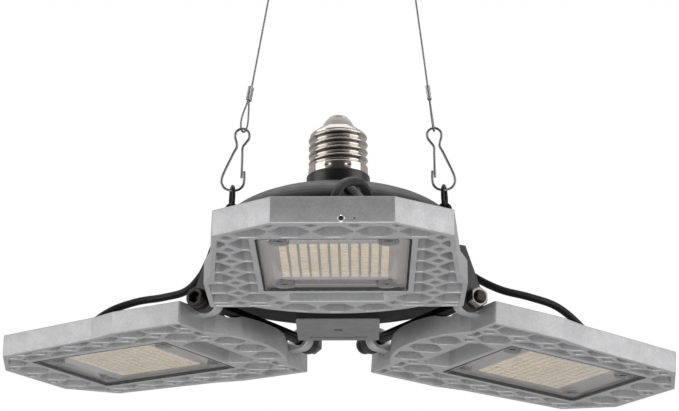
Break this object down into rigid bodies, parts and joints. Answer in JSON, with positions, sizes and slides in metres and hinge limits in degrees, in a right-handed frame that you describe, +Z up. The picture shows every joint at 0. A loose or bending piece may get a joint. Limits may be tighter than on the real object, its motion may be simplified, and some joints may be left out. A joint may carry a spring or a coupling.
{
  "type": "grow lamp",
  "caption": "Three-leaf LED grow lamp: honeycomb aluminium leaves fold down from a black dome with a screw base, hung on wire ropes with snap hooks.",
  "frame": {"origin": "midway below the ceiling, on the plane of the ceiling plates' top faces, on the lamp's vertical axis", "axes": "+Z up along the screw base's axis, -Y towards the front leaf, +X along the line between the two hanging lugs"},
  "size_m": [0.3076, 0.2773, 0.204],
  "materials": {
    "leaf_aluminium": "fine cast, satin",
    "led_board": "matte",
    "lens": "clear, polished",
    "black_plastic": "satin",
    "bolt_steel": "bright zinc",
    "lead_rubber": "matte",
    "hub_black": "black paint, satin",
    "gasket": "matte",
    "box_grey": "satin",
    "sensor_black": "polished",
    "circuit_board": "matte",
    "capacitor": "satin",
    "transformer": "lacquered winding",
    "screw_shell": "nickel plated",
    "insulator": "glazed",
    "contact": "bright",
    "ring_black": "black",
    "wire_steel": "bright",
    "ferrule": "pressed"
  },
  "bodies": {
    "ceiling": {"ceiling_fitting_left": "wire_steel", "ceiling_fitting_right": "wire_steel"},
    "ropes": {"rope_left": "wire_steel", "ferrule_low_left": "ferrule", "ferrule_high_left": "ferrule", "rope_right": "wire_steel", "ferrule_low_right": "ferrule", "ferrule_high_right": "ferrule"},
    "snap_hooks": {"snap_hook_left": "wire_steel", "snap_hook_right": "wire_steel"},
    "hub": {"base_collar": "black_plastic", "base_insulator": "insulator", "box_sensor": "sensor_black", "centre_contact": "contact", "driver_board": "circuit_board", "driver_box": "box_grey", "driver_capacitor": "capacitor", "driver_transformer": "transformer", "hinge_bolt_front": "bolt_steel", "hinge_bolt_left": "bolt_steel", "hinge_bolt_right": "bolt_steel", "hinge_nut_front": "bolt_steel", "hinge_nut_left": "bolt_steel", "hinge_nut_right": "bolt_steel", "hub_cover": "hub_black", "hub_dome": "hub_black", "hub_gasket": "gasket", "hub_gland_front": "black_plastic", "hub_gland_left": "black_plastic", "hub_gland_right": "black_plastic", "lead_front": "lead_rubber", "lead_left": "lead_rubber", "lead_right": "lead_rubber", "lug_ring_left": "ring_black", "lug_ring_right": "ring_black", "screw_shell": "screw_shell"},
    "leaf_front": {"leaf_frame_front": "leaf_aluminium", "led_board_front": "led_board", "led_lens_front": "lens", "leaf_gland_front": "black_plastic"},
    "leaf_left": {"leaf_frame_left": "leaf_aluminium", "led_board_left": "led_board", "led_lens_left": "lens", "leaf_gland_left": "black_plastic"},
    "leaf_right": {"leaf_frame_right": "leaf_aluminium", "led_board_right": "led_board", "led_lens_right": "lens", "leaf_gland_right": "black_plastic"}
  },
  "joints": [
    {"name": "rope_swing", "type": "hinge", "parent": "ceiling", "child": "ropes", "pos_m": [0, 0, -0.0115], "axis": [1, 0, 0], "range_deg": [-40, 40]},
    {"name": "hook_swing", "type": "hinge", "parent": "ropes", "child": "snap_hooks", "pos_m": [0, 0, -0.09975], "axis": [1, 0, 0], "range_deg": [-30, 30]},
    {"name": "hub_swing", "type": "hinge", "parent": "snap_hooks", "child": "hub", "pos_m": [0, 0, -0.12865], "axis": [1, 0, 0], "range_deg": [-30, 30]},
    {"name": "leaf_hinge_front", "type": "hinge", "parent": "hub", "child": "leaf_front", "pos_m": [0, -0.0412, -0.183], "axis": [1, 0, 0], "range_deg": [-10.8, 89.2], "deforming": ["lead_front"]},
    {"name": "leaf_hinge_left", "type": "hinge", "parent": "hub", "child": "leaf_left", "pos_m": [-0.03568, 0.0206, -0.183], "axis": [-0.5, -0.866, 0], "range_deg": [-10, 90], "deforming": ["lead_left"]},
    {"name": "leaf_hinge_right", "type": "hinge", "parent": "hub", "child": "leaf_right", "pos_m": [0.03568, 0.0206, -0.183], "axis": [-0.5, 0.866, 0], "range_deg": [-14.5, 85.5], "deforming": ["lead_right"]}
  ]
}
